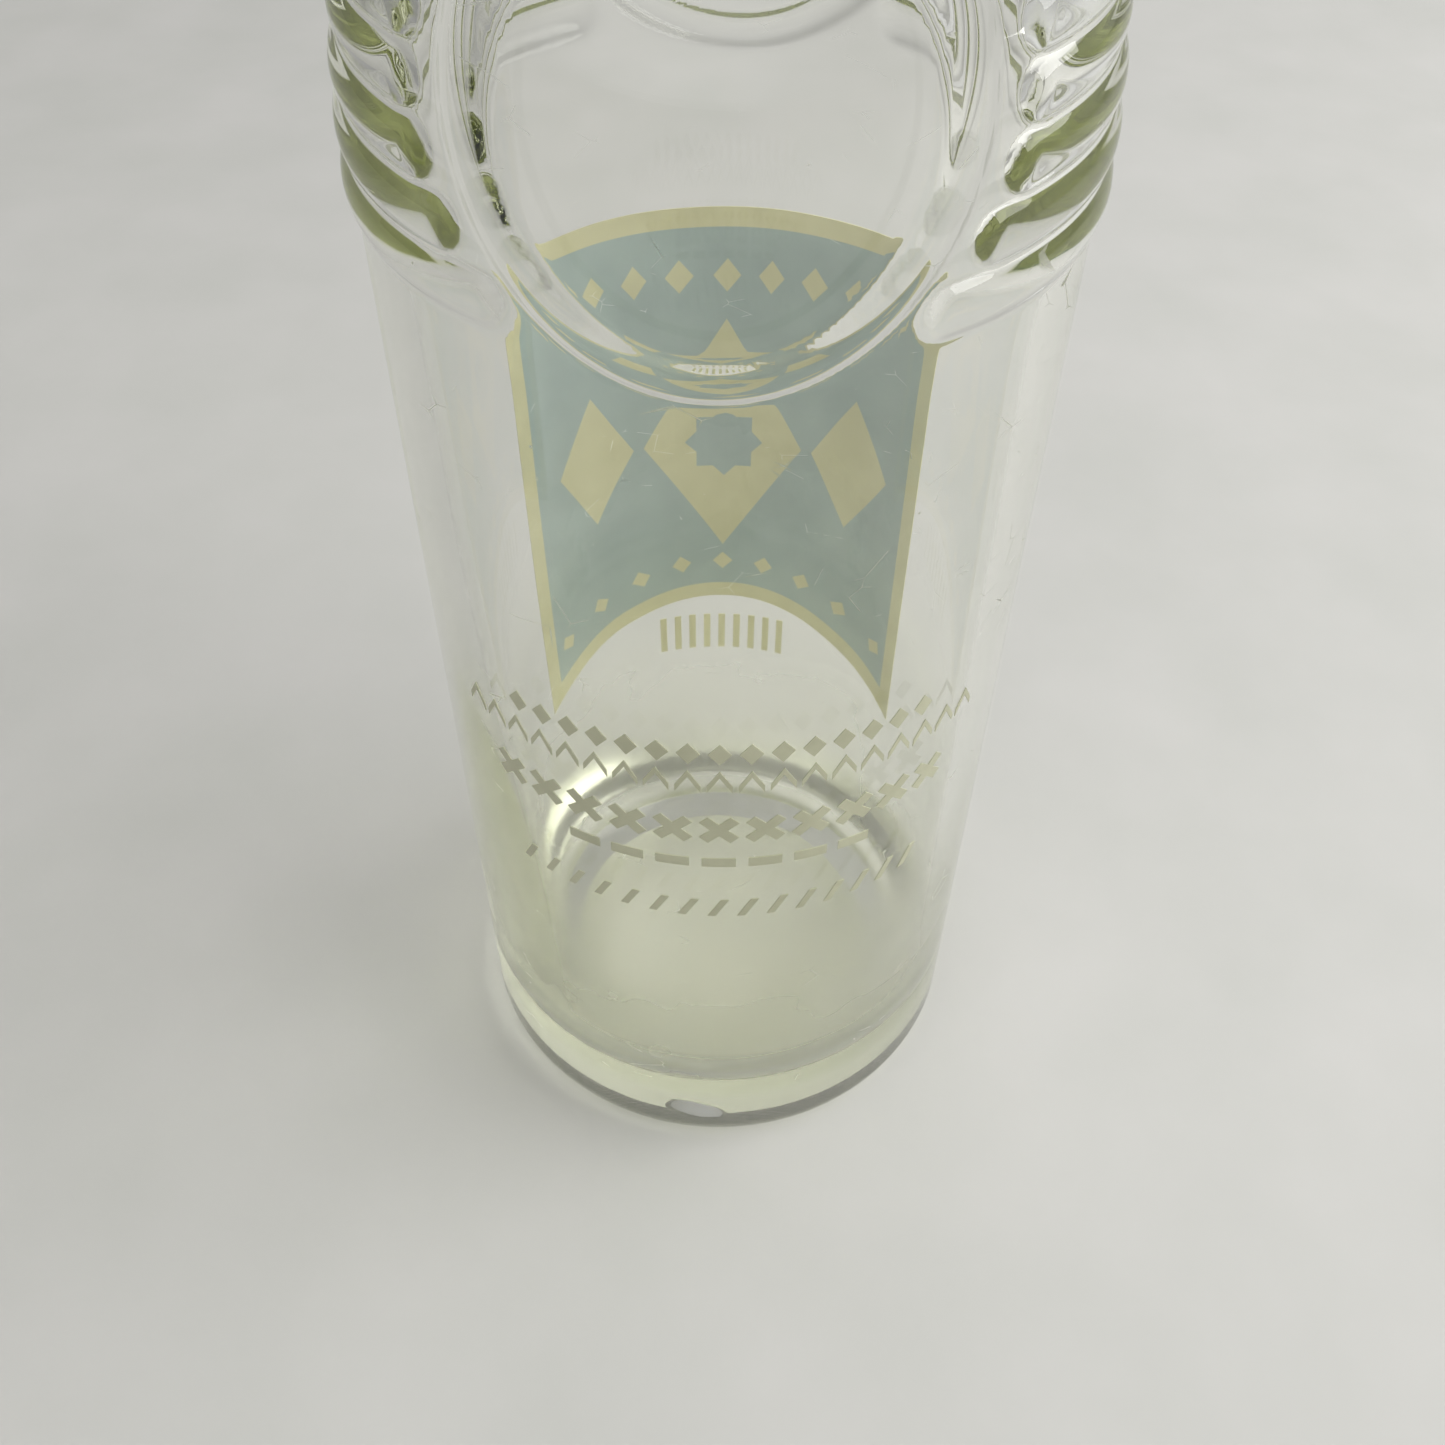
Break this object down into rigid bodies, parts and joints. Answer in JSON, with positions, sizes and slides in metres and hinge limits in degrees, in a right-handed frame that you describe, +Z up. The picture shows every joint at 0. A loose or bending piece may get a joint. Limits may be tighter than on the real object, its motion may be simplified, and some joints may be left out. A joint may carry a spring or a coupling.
{
  "type": "returnable glass drink bottle",
  "caption": "Clear glass bottle with a straight body, hooped shoulder, round medallion ring, fired enamel panel and rows, and a fluted crown cap that lifts off.",
  "frame": {"origin": "centre of the base, on the plane that the bottle stands on", "axes": "+Z up along the bottle's axis, -Y towards its front, where the rows of enamel marks are, and the enamel panel on +Y"},
  "size_m": [0.082, 0.082, 0.2924],
  "materials": {
    "flint_glass": "clear soda-lime glass with a faint olive tint, scuffed by handling",
    "cream_enamel": "cream glass enamel fired on to the outside",
    "blue_enamel": "slate-blue glass enamel fired on to the outside",
    "lacquered_tinplate": "gold-lacquered tinplate",
    "liner_compound": "soft moulded sealing compound"
  },
  "bodies": {
    "bottle": {"glass_bottle": "flint_glass", "back_panel_field": "blue_enamel", "back_panel_border": "cream_enamel", "back_panel_lozenges": "cream_enamel", "back_panel_frieze": "cream_enamel", "back_panel_pips": "cream_enamel", "back_strip": "cream_enamel", "front_row_diamonds": "cream_enamel", "front_row_chevrons": "cream_enamel", "front_row_crosses": "cream_enamel", "front_row_bars": "cream_enamel", "front_row_strokes": "cream_enamel"},
    "crown_cap": {"crown_shell": "lacquered_tinplate", "crown_liner": "liner_compound"}
  },
  "joints": [
    {"name": "crown_lift", "type": "slide", "parent": "bottle", "child": "crown_cap", "axis": [0, 0, 1], "range_m": [0, 0.06]}
  ]
}
